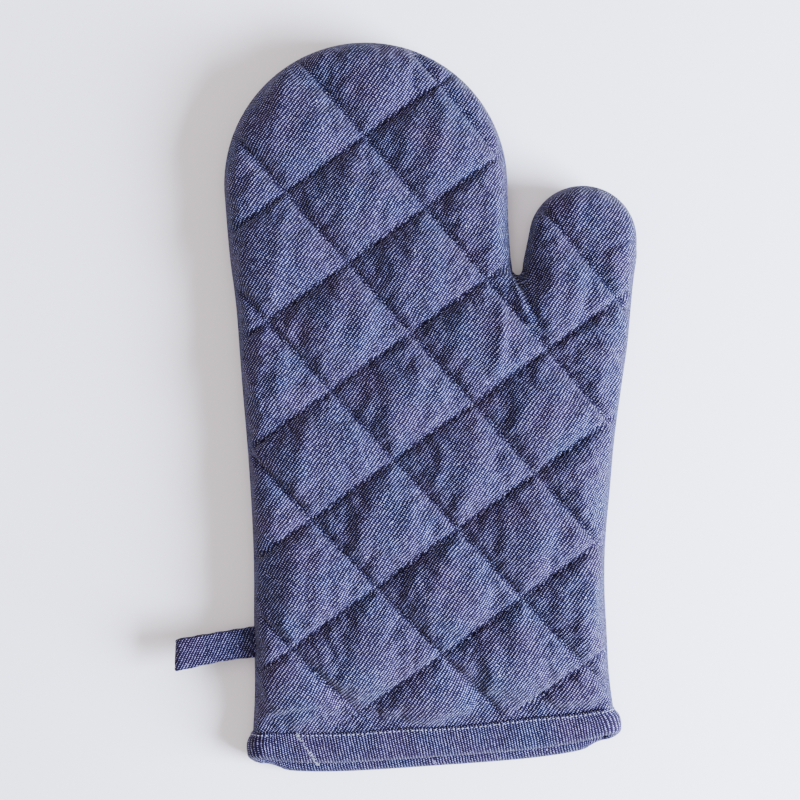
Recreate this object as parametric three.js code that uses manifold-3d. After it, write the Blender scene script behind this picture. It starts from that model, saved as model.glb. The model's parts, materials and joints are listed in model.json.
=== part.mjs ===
// Quilted oven mitt lying flat, in millimetres. The cuff is at -Y, the fingertips at +Y, the thumb
// at +X, and the table is the plane z = 0. Each layer of cloth is a half shell of one rounded
// pillow, so the layers nest, and each layer is cut into a palm, a fingers and a thumb zone.
import * as THREE from 'three';
import { mergeVertices } from 'three/addons/utils/BufferGeometryUtils.js';
import Module from 'manifold-3d';

const wasm = await Module();
wasm.setup();

// Layers, counted inwards from the outside of the cloth.
const HALF_THICK = 13.2;
const COVER = 1.4;
const WADDING = 4.8;
const LINING = 0.8;
const LAYER_GAP = 0.3;
const SEAM_GAP = 0.6;
const RIM_STEPS = 3;

// Plan: the thumb's round tip, the round fingertips and the notch between them.
const THUMB_TIP = { x: 80.5, y: 66.5, r: 23.5 };
const FINGER_TIP = { x: -12.9, y: 97.3, r: 62.2 };
const NOTCH = { x: 50.8, y: 54.6, r: 2.1 };
const FINGER_FOLD_Y = 60.5;
const THUMB_FOLD_END = { x: 91, y: -8 };
const ZONE_GAP = 0.4;

// Cuff, and the binding folded over its edge.
const CUFF_HALF_WIDTH = 82.8;
const CUFF_END = -158;
const BINDING_HEIGHT = 18;
const BINDING = 1.1;
const CUFF_TOP = CUFF_END + BINDING_HEIGHT;
const LAYERS_END = CUFF_END + BINDING + LAYER_GAP;
const CUFF_STEP = BINDING + LAYER_GAP;
const STEP_LENGTH = 3;

// Quilting: two families of parallel lines, and their thread lying in a groove.
// Each family's lines cross the mitt's middle line x = 0 at even steps, from the fingertips down,
// and each line turns a little from the one before.
const QUILT_UP = { angle: 31.4, turn: 0.1, first: 124, step: 47.6, count: 7 };
const QUILT_DOWN = { angle: -54.5, turn: 1.1, first: 169, step: 68, count: 6 };
const THREAD = 0.4;
const THREAD_WIDTH = 0.9;
const GROOVE_WIDTH = 1.6;
const GROOVE_DEPTH = 1;
const TOPSTITCH_Y = CUFF_TOP - 1.8;
const SEAM_INSET = 3;
const SEAM_WIDTH = 0.8;

// Hanging loop: a strip folded back on itself, with its ends in the side seam.
const LOOP = { root: -77.8, y: -100.8, width: 13.6, length: 33.3, strip: 1.5 };
const LOOP_ROOT_R = 1.3;
const LOOP_TIP_R = 5.2;
const TAB_END = -74.2;
const POCKET_HALF = 2.1;

const DEG = Math.PI / 180;
const FAR = 250;
const middle = HALF_THICK;

const colours = {
  cover: new THREE.MeshStandardMaterial({ color: 0x4b4a74, roughness: 0.9 }),
  binding: new THREE.MeshStandardMaterial({ color: 0x45436c, roughness: 0.9 }),
  wadding: new THREE.MeshStandardMaterial({ color: 0xf1efe8, roughness: 1 }),
  lining: new THREE.MeshStandardMaterial({ color: 0xe4dccb, roughness: 0.95 }),
  quilting: new THREE.MeshStandardMaterial({ color: 0x23224a, roughness: 0.8 }),
  topstitch: new THREE.MeshStandardMaterial({ color: 0xb9b9cf, roughness: 0.8 }),
};

// --- Between three.js geometry and solids that can be joined and cut ---

function toSolid(geometry) {
  const bare = geometry.index ? geometry.clone() : geometry;
  bare.deleteAttribute('normal');
  bare.deleteAttribute('uv');
  const merged = mergeVertices(bare, 1e-4);
  return new wasm.Manifold(new wasm.Mesh({
    numProp: 3,
    vertProperties: new Float32Array(merged.attributes.position.array),
    triVerts: new Uint32Array(merged.index.array),
  }));
}

function toMesh(name, solid, material) {
  const { numProp, vertProperties, triVerts } = solid.getMesh();
  const points = new Float32Array((vertProperties.length / numProp) * 3);
  for (let i = 0; i < points.length / 3; i += 1) {
    points.set(vertProperties.subarray(i * numProp, i * numProp + 3), i * 3);
  }
  const geometry = new THREE.BufferGeometry();
  geometry.setAttribute('position', new THREE.BufferAttribute(points, 3));
  geometry.setIndex(new THREE.BufferAttribute(new Uint32Array(triVerts), 1));
  geometry.computeVertexNormals();
  const mesh = new THREE.Mesh(geometry, material);
  mesh.name = name;
  return mesh;
}

function box(x0, x1, y0, y1, z0, z1) {
  const geometry = new THREE.BoxGeometry(x1 - x0, y1 - y0, z1 - z0);
  geometry.translate((x0 + x1) / 2, (y0 + y1) / 2, (z0 + z1) / 2);
  return toSolid(geometry);
}

function prism(corners) {
  const shape = new THREE.Shape(corners.map(([x, y]) => new THREE.Vector2(x, y)));
  const geometry = new THREE.ExtrudeGeometry(shape, { depth: 60, bevelEnabled: false });
  geometry.translate(0, 0, -15);
  return toSolid(geometry);
}

function union(solids) {
  return solids.reduce((sum, solid) => sum.add(solid));
}

// --- The pillow that every layer nests in ---

function spline(points, steps) {
  const curve = new THREE.SplineCurve(points.map(([x, y]) => new THREE.Vector2(x, y)));
  return curve.getSpacedPoints(steps);
}

function arc(circle, from, to, steps) {
  const curve = new THREE.ArcCurve(circle.x, circle.y, circle.r, from * DEG, to * DEG, to < from);
  return curve.getSpacedPoints(steps);
}

// The sewn edge seen from above, counter-clockwise. It runs past the cuff, where the layers are cut.
function sewnEdge() {
  const rightSide = [[CUFF_HALF_WIDTH, -150], [80.2, -136], [79, -112], [79.8, -80], [85, -42],
    [93.5, 4], [100.3, 42], [103.6, 62]];
  const leftSide = [[-75.1, 94.6], [-74.7, 68], [-73.2, 30], [-72.7, -24], [-73.4, -62],
    [-75.6, -96], [-79, -132], [-CUFF_HALF_WIDTH, -150]];
  return [
    new THREE.Vector2(-CUFF_HALF_WIDTH, -200),
    new THREE.Vector2(CUFF_HALF_WIDTH, -200),
    ...spline(rightSide, 10).slice(0, -1),
    ...arc(THUMB_TIP, -10, 164, 12),
    ...arc(NOTCH, -16, -180, 6),
    new THREE.Vector2(48.6, 74),
    ...arc(FINGER_TIP, -3, 182, 18),
    ...spline(leftSide, 9).slice(1),
  ];
}

// Moves each point of a closed outline inwards by a distance, keeping its edges parallel.
function inset(outline, distance) {
  return outline.map((point, i) => {
    const before = outline[(i + outline.length - 1) % outline.length];
    const after = outline[(i + 1) % outline.length];
    const a = point.clone().sub(before).normalize();
    const b = after.clone().sub(point).normalize();
    const inward = new THREE.Vector2(-a.y - b.y, a.x + b.x).divideScalar(1 + a.dot(b));
    return point.clone().addScaledVector(inward, distance);
  });
}

const edge = sewnEdge();

// The mitt's outer shape moved inwards by a depth: flat above and below, with a half-round rim.
function pillow(depth) {
  const radius = HALF_THICK - depth;
  const positions = [];
  const index = [];
  const count = edge.length;
  for (let step = -RIM_STEPS; step <= RIM_STEPS; step += 1) {
    const turn = (step / RIM_STEPS) * 90 * DEG;
    const ring = inset(edge, HALF_THICK - radius * Math.cos(turn));
    ring.forEach((p) => positions.push(p.x, p.y, middle + radius * Math.sin(turn)));
  }
  for (let ring = 0; ring < 2 * RIM_STEPS; ring += 1) {
    for (let i = 0; i < count; i += 1) {
      const a = ring * count + i;
      const b = ring * count + ((i + 1) % count);
      index.push(a, b, b + count, a, b + count, a + count);
    }
  }
  const top = 2 * RIM_STEPS * count;
  THREE.ShapeUtils.triangulateShape(inset(edge, HALF_THICK), []).forEach(([a, b, c]) => {
    index.push(top + a, top + b, top + c, a, c, b);
  });
  const geometry = new THREE.BufferGeometry();
  geometry.setAttribute('position', new THREE.Float32BufferAttribute(positions, 3));
  geometry.setIndex(index);
  return toSolid(geometry);
}

function shell(outer, inner) {
  return pillow(outer).subtract(pillow(inner));
}

// --- Zones that bend, and the two faces ---

// The fold between palm and thumb, from the notch to the right edge, and a way square to it.
const foldStart = new THREE.Vector2(NOTCH.x, NOTCH.y);
const foldAlong = new THREE.Vector2(THUMB_FOLD_END.x, THUMB_FOLD_END.y).sub(foldStart).normalize();
const foldAcross = new THREE.Vector2(-foldAlong.y, foldAlong.x);

function foldPoint(along, side) {
  return foldStart.clone().addScaledVector(foldAlong, along)
    .addScaledVector(foldAcross, (side * ZONE_GAP) / 2).toArray();
}

const palmTop = FINGER_FOLD_Y - ZONE_GAP / 2;
const zones = {
  palm: prism([[-FAR, -FAR], [FAR, -FAR], foldPoint(FAR, -1), foldPoint(0, -1),
    [NOTCH.x, palmTop], [-FAR, palmTop]]),
  fingers: prism([[-FAR, FINGER_FOLD_Y + ZONE_GAP / 2], [NOTCH.x, FINGER_FOLD_Y + ZONE_GAP / 2],
    [NOTCH.x, FAR], [-FAR, FAR]]),
  thumb: prism([foldPoint(0, 1), foldPoint(FAR, 1), [FAR, FAR], [NOTCH.x + 0.2, FAR]]),
};
const faces = {
  front: box(-FAR, FAR, LAYERS_END, FAR, middle + SEAM_GAP, middle + FAR),
  back: box(-FAR, FAR, LAYERS_END, FAR, middle - FAR, middle - SEAM_GAP),
};

function above(y) {
  return box(-FAR, FAR, y, FAR, -FAR, FAR);
}

// --- Layers ---

const coverEnd = COVER;
const waddingStart = coverEnd + LAYER_GAP;
const waddingEnd = waddingStart + WADDING;
const liningStart = waddingEnd + LAYER_GAP;
const liningEnd = liningStart + LINING;
const bindingInside = liningEnd + LAYER_GAP;
const stepTop = CUFF_TOP + LAYER_GAP + STEP_LENGTH;

function quiltSlabs(width) {
  const slabs = [];
  [QUILT_UP, QUILT_DOWN].forEach(({ angle, turn, first, step, count }) => {
    for (let line = 0; line < count; line += 1) {
      const geometry = new THREE.BoxGeometry(3 * FAR, width, 60);
      geometry.rotateZ((angle + line * turn) * DEG);
      geometry.translate(0, first - line * step, middle);
      slabs.push(toSolid(geometry));
    }
  });
  return union(slabs).intersect(above(CUFF_TOP + 1));
}

const pocket = box(-FAR, TAB_END + LAYER_GAP, LOOP.y - LOOP.width / 2 - LAYER_GAP,
  LOOP.y + LOOP.width / 2 + LAYER_GAP, middle - POCKET_HALF, middle + POCKET_HALF);

// The cover steps in under the binding, so that the cuff is no thicker than the hand.
const coverSolid = shell(0, coverEnd).intersect(above(CUFF_TOP + LAYER_GAP))
  .add(shell(0, CUFF_STEP + COVER).intersect(above(CUFF_TOP + LAYER_GAP)).subtract(above(stepTop)))
  .add(shell(CUFF_STEP, CUFF_STEP + COVER).subtract(above(stepTop)))
  .subtract(shell(-2, GROOVE_DEPTH).intersect(quiltSlabs(GROOVE_WIDTH)))
  .subtract(pocket);
const waddingSolid = shell(CUFF_STEP + waddingStart, waddingEnd)
  .add(shell(waddingStart, waddingEnd).intersect(above(stepTop + LAYER_GAP)))
  .subtract(pocket);
const layers = {
  cover: coverSolid,
  wadding: waddingSolid,
  lining: shell(liningStart, liningEnd),
  quilting: shell(LAYER_GAP, LAYER_GAP + THREAD).intersect(quiltSlabs(THREAD_WIDTH)),
};

// --- Seams, binding and loop ---

const seamThread = shell(SEAM_INSET, SEAM_INSET + SEAM_WIDTH)
  .intersect(box(-FAR, FAR, LAYERS_END, FAR, middle - SEAM_GAP / 2, middle + SEAM_GAP / 2));
const seamPieces = {
  side_seam_palm_left: zones.palm.intersect(box(-FAR, 0, -FAR, FAR, -FAR, FAR)),
  side_seam_palm_right: zones.palm.intersect(box(NOTCH.x + 5, FAR, -FAR, FAR, -FAR, FAR)),
  side_seam_notch: zones.palm.intersect(box(0, NOTCH.x + 5, NOTCH.y - 20, FAR, -FAR, FAR)),
  side_seam_fingers: zones.fingers,
  side_seam_thumb: zones.thumb,
};

const cuff = box(-FAR, FAR, CUFF_END, CUFF_TOP, -FAR, FAR);
const topstitchSlab = (half) => box(-FAR, FAR, TOPSTITCH_Y - half, TOPSTITCH_Y + half, -FAR, FAR);
const bindingSolid = shell(0, bindingInside + BINDING).intersect(cuff)
  .subtract(shell(BINDING, bindingInside).intersect(above(CUFF_END + BINDING)))
  .subtract(shell(-2, GROOVE_DEPTH - LAYER_GAP).intersect(topstitchSlab(GROOVE_WIDTH / 2)));
const topstitchSolid = shell(LAYER_GAP / 2, THREAD).intersect(topstitchSlab(THREAD_WIDTH / 2));

// A drop shape seen along +Y: two circles joined by straight sides. It runs from its root to -X.
function drop(near, nearRadius, far, farRadius) {
  const lean = Math.asin((farRadius - nearRadius) / (far - near));
  const shape = new THREE.Path();
  shape.absarc(-near, 0, nearRadius, Math.PI / 2 + lean - Math.PI, Math.PI / 2 - lean, false);
  shape.absarc(-far, 0, farRadius, Math.PI / 2 - lean, (3 * Math.PI) / 2 + lean, false);
  return shape.getPoints(6);
}

function acrossLoop(geometry) {
  geometry.rotateX(Math.PI / 2);
  geometry.translate(LOOP.root, LOOP.y + LOOP.width / 2, middle);
  return geometry;
}

const tipCentre = LOOP.length - LOOP_TIP_R;
const loopShape = new THREE.Shape(drop(0, LOOP_ROOT_R, tipCentre, LOOP_TIP_R));
loopShape.holes.push(new THREE.Path(drop(6.5, 0.6, tipCentre, LOOP_TIP_R - LOOP.strip)));
const loopGeometry = acrossLoop(
  new THREE.ExtrudeGeometry(loopShape, { depth: LOOP.width, bevelEnabled: false }),
);
const tabStart = LOOP.root + LOOP_ROOT_R + LAYER_GAP;
const halfWidth = LOOP.width / 2;

// --- The assembly ---

const group = new THREE.Group();
['front', 'back'].forEach((face) => {
  Object.entries(layers).forEach(([layer, solid]) => {
    const half = solid.intersect(faces[face]);
    Object.entries(zones).forEach(([zone, room]) => {
      group.add(toMesh(`${face}_${layer}_${zone}`, half.intersect(room), colours[layer]));
    });
  });
});
Object.entries(seamPieces).forEach(([name, room]) => {
  group.add(toMesh(name, seamThread.intersect(room), colours.quilting));
});
group.add(toMesh('cuff_binding', bindingSolid, colours.binding));
group.add(toMesh('cuff_topstitch', topstitchSolid, colours.topstitch));
group.add(toMesh('hanging_loop', toSolid(loopGeometry), colours.binding));
group.add(toMesh('hanging_loop_root', box(tabStart, TAB_END, LOOP.y - halfWidth,
  LOOP.y + halfWidth, middle - LOOP_ROOT_R, middle + LOOP_ROOT_R), colours.binding));
group.add(toMesh('loop_bar_tack', box(TAB_END - 1.2, TAB_END - 0.5, LOOP.y - 6, LOOP.y + 6,
  middle + LOOP_ROOT_R + 0.2, middle + LOOP_ROOT_R + 0.5), colours.quilting));

export default group;
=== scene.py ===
# A quilted oven mitt of indigo twill, lying flat with its thumb to the right.
# The sections follow the order in which the mitt is put together, from the outer cloth inwards and
# on to the cuff and the loop. Sizes are in millimetres; MM turns them into the frame's metres.
import json
import math

import bpy
import numpy as np
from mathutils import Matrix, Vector, bvhtree, geometry, noise


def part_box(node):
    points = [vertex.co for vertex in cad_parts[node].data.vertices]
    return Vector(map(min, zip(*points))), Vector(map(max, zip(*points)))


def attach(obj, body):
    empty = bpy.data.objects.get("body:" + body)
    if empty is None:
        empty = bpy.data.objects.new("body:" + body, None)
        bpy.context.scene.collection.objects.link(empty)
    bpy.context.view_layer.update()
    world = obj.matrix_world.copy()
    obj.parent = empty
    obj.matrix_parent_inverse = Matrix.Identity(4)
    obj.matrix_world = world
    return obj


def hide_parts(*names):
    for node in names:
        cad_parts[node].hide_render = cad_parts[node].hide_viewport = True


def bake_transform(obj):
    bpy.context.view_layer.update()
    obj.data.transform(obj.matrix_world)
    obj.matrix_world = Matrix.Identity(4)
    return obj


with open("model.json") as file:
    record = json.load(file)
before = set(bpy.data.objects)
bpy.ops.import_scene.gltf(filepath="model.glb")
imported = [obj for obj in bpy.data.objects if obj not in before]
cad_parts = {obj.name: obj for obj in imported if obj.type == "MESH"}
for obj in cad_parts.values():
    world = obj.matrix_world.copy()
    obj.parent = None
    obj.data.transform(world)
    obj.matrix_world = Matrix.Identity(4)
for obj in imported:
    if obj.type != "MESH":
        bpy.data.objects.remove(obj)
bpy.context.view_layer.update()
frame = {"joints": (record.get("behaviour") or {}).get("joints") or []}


# --- The table and the light ---
# A white table under a large soft lamp at the right, which grazes the quilting, and a pale room.
# They only show the mitt, and aren't part of it.

MM = 0.001


def linear(hex_colour):
    """An sRGB hex value as the linear colour that the shader wants."""
    parts = [int(hex_colour[i:i + 2], 16) / 255 for i in (1, 3, 5)]
    return [c / 12.92 if c <= 0.04045 else ((c + 0.055) / 1.055) ** 2.4 for c in parts] + [1.0]


def add(material, kind, inputs=(), **settings):
    """One node: its settings, then its inputs by name or number, each a value or another's output."""
    node = material.node_tree.nodes.new("ShaderNode" + kind)
    for name, value in settings.items():
        setattr(node, name, value)
    for name, value in dict(inputs).items():
        if isinstance(value, bpy.types.NodeSocket):
            material.node_tree.links.new(value, node.inputs[name])
        else:
            node.inputs[name].default_value = value
    return node


def new_material(name, roughness, **shader):
    """A material with a roughness and other shader settings, and its surface shader."""
    material = bpy.data.materials.new(name)
    material.use_nodes = True
    surface = material.node_tree.nodes["Principled BSDF"]
    surface.inputs["Roughness"].default_value = roughness
    for socket, value in shader.items():
        surface.inputs[socket.replace("_", " ")].default_value = value
    return material, surface


def wear(material, surface, colour, relief):
    """Gives a material's surface a colour and a relief."""
    material.node_tree.links.new(colour.outputs[2], surface.inputs["Base Color"])
    material.node_tree.links.new(relief.outputs[0], surface.inputs["Normal"])


def plain_object(name, points, faces, material=None):
    """An object from arrays of points, in metres, and faces: smooth if it has a material."""
    mesh = bpy.data.meshes.new(name)
    mesh.from_pydata(np.asarray(points).tolist(), [], np.asarray(faces).tolist())
    if material:
        mesh.polygons.foreach_set("use_smooth", [True] * len(mesh.polygons))
        mesh.materials.append(material)
    thing = bpy.data.objects.new(name, mesh)
    bpy.context.collection.objects.link(thing)
    return thing


# Painted board: matt enough to show the mitt's soft shadow and no reflection of it.
table_paint, table_surface = new_material("matt_white_table_paint", 0.6)
table_surface.inputs["Base Color"].default_value = linear("#F4F4F6")
TABLE_REACH = 3
table_corners = np.array([(-1, -1, 0), (1, -1, 0), (1, 1, 0), (-1, 1, 0)]) * TABLE_REACH
table = plain_object("table", table_corners, [(0, 1, 2, 3)], table_paint)

SEAM_HEIGHT = 13.2
VIEW_CENTRE = (-4.5, 1.6)
VIEW_WIDTH = 351.2
LENS = 90
SENSOR = 36
TILT = math.radians(-4)
camera_data = bpy.data.cameras.new("camera")
camera_data.lens = LENS
camera_data.sensor_width = SENSOR
camera = bpy.data.objects.new("camera", camera_data)
camera.location = (VIEW_CENTRE[0] * MM, VIEW_CENTRE[1] * MM,
                   (SEAM_HEIGHT + VIEW_WIDTH * LENS / SENSOR) * MM)
camera.rotation_euler = (0, 0, TILT)
bpy.context.collection.objects.link(camera)
bpy.context.scene.camera = camera


def lamp(name, place, size, watts, colour):
    """A square soft lamp at a place in metres, aimed at the mitt."""
    data = bpy.data.lights.new(name, "AREA")
    data.size = size
    data.energy = watts
    data.color = linear(colour)[:3]
    light = bpy.data.objects.new(name, data)
    light.location = place
    light.rotation_euler = (-Vector(place)).to_track_quat("-Z", "Y").to_euler()
    bpy.context.collection.objects.link(light)


lamp("window_lamp", (1.25, -0.5, 0.64), 0.9, 215, "#DCE5FF")
lamp("ceiling_lamp", (-0.2, 0.3, 2.0), 1.6, 24, "#FFF0F0")
world = bpy.data.worlds.new("pale_room")
world.use_nodes = True
room_light = world.node_tree.nodes["Background"]
room_light.inputs["Color"].default_value = linear("#F6EDF3")
room_light.inputs["Strength"].default_value = 0.75
bpy.context.scene.world = world


# --- The outer cloth ---
# Indigo twill, a two-up one-down weave: dark blue warp lies over a pale weft, so the weft shows as
# rows of pale flecks that climb to the right. Two panels, back and front, each quilted on its own.

# The sewn edge, from the cuff's thumb side round the hand to the cuff's other side. A stretch is
# either points on a smooth curve or an arc's centre across and up, radius, start and end angle.
SEWN_EDGE = [
    ("curve", [(80.8, -149), (79.8, -138), (78.8, -122), (79.0, -103), (79.4, -86), (81.2, -66),
               (85.0, -42), (88.4, -21), (93.6, 4), (97.0, 20), (100.9, 44), (103.8, 58)]),
    ("arc", (80.4, 66.2, 23.8, -12, 158)),
    ("curve", [(56.0, 66.5), (53.4, 57.5)]),
    ("arc", (50.9, 54.7, 2.3, -10, -178)),
    ("curve", [(48.2, 64), (48.4, 78)]),
    ("arc", (-12.9, 97.2, 62.2, -4, 183)),
    ("curve", [(-75.0, 86), (-74.6, 68), (-73.4, 47), (-73.2, 16), (-72.7, -24), (-73.3, -60),
               (-75.3, -92), (-76.8, -118), (-79.2, -138), (-80.6, -149)]),
]
# The cloth ends at the cuff's edge, and the binding covers it from there up to the cuff's top.
CUFF_EDGE_Y = -149
CUFF_TOP_Y = -140
FABRIC_PITCH = 2.3
# Two families of quilting lines. The first line crosses the middle of the mitt at first, at an
# angle in degrees, and each next one is a step lower and turned a little more.
QUILT_UP = {"angle": 31.4, "turn": 0.1, "first": 124, "step": 47.6, "count": 7}
QUILT_DOWN = {"angle": -54.5, "turn": 1.1, "first": 169, "step": 68, "count": 6}
NOTCH_LINE = 2
NOTCH_LINE_STOP = 50
PAST_ALL = 200


def smooth(points, steps=12):
    """Points on a smooth curve through the given ones."""
    p = np.array(points, float)
    p = np.vstack([2 * p[0] - p[1], p, 2 * p[-1] - p[-2]])
    t = np.linspace(0, 1, steps, endpoint=False)[:, None]
    out = []
    for a, b, c, d in zip(p, p[1:], p[2:], p[3:]):
        out.append(0.5 * (2 * b + (c - a) * t + (2 * a - 5 * b + 4 * c - d) * t ** 2
                          + (3 * b - a - 3 * c + d) * t ** 3))
    return np.vstack(out + [p[-2:-1]])


def evenly(line, pitch):
    """The same line with points a pitch apart."""
    steps = np.hypot(*np.diff(line, axis=0).T[:2])
    along = np.concatenate([[0], np.cumsum(steps)])
    count = max(2, int(round(along[-1] / pitch)) + 1)
    where = np.linspace(0, along[-1], count)
    return np.stack([np.interp(where, along, line[:, k]) for k in range(line.shape[1])], axis=1)


def sewn_edge():
    """All stretches of the sewn edge as one line of closely spaced points."""
    stretches = []
    for kind, shape in SEWN_EDGE:
        if kind == "arc":
            x, y, r, start, end = shape
            turn = np.radians(np.linspace(start, end, 60))
            shape = np.stack([x + r * np.cos(turn), y + r * np.sin(turn)], axis=1)
        stretches.append(np.array(shape, float))
    joined = [smooth(s) if len(s) < 60 else s for s in stretches]
    return np.vstack(joined)


edge_line = evenly(sewn_edge(), 1.0)
# Below the cuff the edge runs straight on, so that the cuff's own end isn't taken for a sewn edge.
edge_for_depth = np.vstack([edge_line[0] + (0, -90), edge_line, edge_line[-1] + (0, -90)])


def nearest_on_edge(points):
    """For each point, how far it is from the sewn edge, and the way out square to that edge."""
    a, b = edge_for_depth[:-1], edge_for_depth[1:]
    ab = b - a
    depth = np.empty(len(points))
    outward = np.empty((len(points), 2))
    for start in range(0, len(points), 500):
        p = points[start:start + 500, None]
        t = np.clip(((p - a) * ab).sum(2) / (ab ** 2).sum(1), 0, 1)[..., None]
        gap = np.linalg.norm(p - a - t * ab, axis=2)
        pick = gap.argmin(1)
        depth[start:start + 500] = gap[np.arange(len(pick)), pick]
        way = ab[pick] / np.linalg.norm(ab[pick], axis=1)[:, None]
        outward[start:start + 500] = np.column_stack([way[:, 1], -way[:, 0]])
    return depth, outward


def inside(points, loop):
    """Which points lie inside a closed loop."""
    x, y = points[:, 0, None], points[:, 1, None]
    x0, y0 = loop[:, 0], loop[:, 1]
    x1, y1 = np.roll(x0, -1), np.roll(y0, -1)
    crosses = ((y0 > y) != (y1 > y)) & (x < (x1 - x0) * (y - y0) / (y1 - y0 + 1e-12) + x0)
    return crosses.sum(1) % 2 == 1


def quilt_lines():
    """Each quilting line of both families: a point on the middle line, a direction, and how far
    right it runs. One rising line would cross the thumb's tip, and stops at the notch."""
    lines = []
    for family in (QUILT_UP, QUILT_DOWN):
        for k in range(family["count"]):
            angle = math.radians(family["angle"] + k * family["turn"])
            start = np.array([0, family["first"] - k * family["step"]], float)
            short = family is QUILT_UP and k == NOTCH_LINE
            stop = NOTCH_LINE_STOP if short else PAST_ALL
            lines.append((start, np.array([math.cos(angle), math.sin(angle)]), stop))
    return lines


def from_quilting(points):
    """How far each point is from the nearest quilting line that runs as far as the point."""
    gaps = []
    for start, along, stop in quilt_lines():
        gap = np.abs((points - start) @ np.array([-along[1], along[0]]))
        gaps.append(np.where(points[:, 0] > stop, np.inf, gap))
    return np.min(gaps, axis=0)


def flat_panel(pitch, seed):
    """One panel cut out flat: its points and triangles, and which points are quilted, sewn or on
    the cuff's edge. Triangle edges follow the sewn edge and the quilting, and the points between
    them are strewn a little unevenly."""
    rng = np.random.default_rng(seed)
    sewn = evenly(edge_line, pitch)
    cuff = evenly(np.array([sewn[-1], sewn[0]]), pitch)[1:-1]
    loop = np.vstack([sewn, cuff])
    points = [loop]
    edges = [(i, (i + 1) % len(loop)) for i in range(len(loop))]
    beyond = 60
    lines = quilt_lines()
    for k, (start, along, stop) in enumerate(lines):
        marks = [0.0]
        for j, (other, way, _) in enumerate(lines):
            cross = along[0] * way[1] - along[1] * way[0]
            if (k < QUILT_UP["count"]) != (j < QUILT_UP["count"]):
                gap = other - start
                marks.append((gap[0] * way[1] - gap[1] * way[0]) / cross)
        marks = sorted(marks[1:])
        marks = [marks[0] - beyond] + marks + [marks[-1] + beyond]
        steps = [np.linspace(a, b, max(2, round((b - a) / pitch)) + 1)[:-1]
                 for a, b in zip(marks, marks[1:])]
        row = start + np.concatenate(steps)[:, None] * along
        depth, _ = nearest_on_edge(row)
        keep = inside(row, loop) & (depth > 0.55 * pitch) & (row[:, 1] > CUFF_EDGE_Y + pitch)
        keep &= row[:, 0] < stop
        first = sum(len(p) for p in points)
        number = np.cumsum(keep) - 1 + first
        edges += [(number[i], number[i + 1]) for i in range(len(row) - 1) if keep[i] and keep[i + 1]]
        points.append(row[keep])
    quilted_from, quilted_to = len(loop), sum(len(p) for p in points)
    xs = np.arange(-90, 112, pitch)
    ys = np.arange(CUFF_EDGE_Y + pitch / 2, 165, pitch * 0.87)
    grid = np.array([(x + (j % 2) * pitch / 2, y) for j, y in enumerate(ys) for x in xs])
    grid += rng.uniform(-0.16, 0.16, grid.shape) * pitch
    depth, _ = nearest_on_edge(grid)
    keep = inside(grid, loop) & (depth > 0.6 * pitch) & (from_quilting(grid) > 0.55 * pitch)
    points.append(grid[keep])
    flat = np.vstack(points)
    cut = geometry.delaunay_2d_cdt([Vector(p) for p in flat], edges, [], 1, 1e-4, True)
    points = np.array([tuple(v) for v in cut[0]])
    faces = np.array(cut[2])
    faces = faces[inside(points[faces].mean(1), loop)]
    source = [ids[0] if ids else -1 for ids in cut[3]]
    quilted = np.array([quilted_from <= s < quilted_to for s in source])
    sewn_points = np.array([0 <= s < len(sewn) for s in source])
    cuff_points = np.array([len(sewn) - 1 <= s < len(loop) or s == 0 for s in source])
    return points, faces, quilted, sewn_points, cuff_points


def ease(low, high, value):
    """0 below low, 1 above high and a smooth rise between them."""
    t = np.clip((value - low) / (high - low), 0, 1)
    return t * t * (3 - 2 * t)


RIM = 13.0
HALF_HEIGHT = 10.7
CUFF_HALF_HEIGHT = 6.6
CUFF_DROP = 5.0
PRESSED_FROM = -108
PRESSED_TO = -141


def towards_cuff(y):
    """0 on the hand, and 1 where the binding presses the layers flat."""
    return ease(PRESSED_FROM, PRESSED_TO, y)


def seam_height(y):
    """The height of the side seam: it sinks to the table at the cuff."""
    return SEAM_HEIGHT - CUFF_DROP * towards_cuff(y)


def rim_profile(depth, y, half_height, rim):
    """The panel's height over the side seam: a half-round rim, then flat."""
    tight = towards_cuff(y)
    rim = rim + (CUFF_HALF_HEIGHT * rim / RIM - rim) * tight
    half_height = half_height + (CUFF_HALF_HEIGHT * half_height / HALF_HEIGHT - half_height) * tight
    return half_height * np.sqrt(np.clip(1 - (1 - np.clip(depth / rim, 0, 1)) ** 2, 0, 1))


flat, panel_faces, quilted, sewn, cuffed = flat_panel(FABRIC_PITCH, 7)
panel_depth, panel_outward = nearest_on_edge(flat)
count = len(flat)

# Front and back panel are one mesh, joined along the sewn edge. The wadding pushes them out like
# air, and the cloth is cut a little large, so it puckers between the stitched lines. The
# simulation runs at ten times full size, where it is steadier.
SIM_SCALE = 0.01
SIM_FRAMES = 24
PLUMP = 2.0
HELD_DOWN = 8
rng = np.random.default_rng(11)
base = rim_profile(panel_depth, flat[:, 1], HALF_HEIGHT, RIM)
plump = PLUMP * (1 - np.exp(-from_quilting(flat) / 7)) * np.clip(panel_depth / 6, 0, 1)
plump *= 1 - towards_cuff(flat[:, 1])
plump += rng.uniform(-0.15, 0.15, count) * (panel_depth > 2)
height = np.where(quilted, base, base + plump)
level = seam_height(flat[:, 1])
front_start = np.column_stack([flat, level + height])
back_start = np.column_stack([flat, level - height])
back_index = np.where(sewn, np.arange(count), np.arange(count) + count)
cloth_faces = np.vstack([panel_faces, back_index[panel_faces[:, ::-1]]])
stuck = quilted | sewn | cuffed | (flat[:, 1] < CUFF_EDGE_Y + HELD_DOWN)


def evaluated_points(thing):
    """The points of an object's mesh with its modifiers at work."""
    worn = thing.evaluated_get(bpy.context.evaluated_depsgraph_get())
    found = np.empty(len(worn.data.vertices) * 3)
    worn.data.vertices.foreach_get("co", found)
    return found.reshape(-1, 3)


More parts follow.
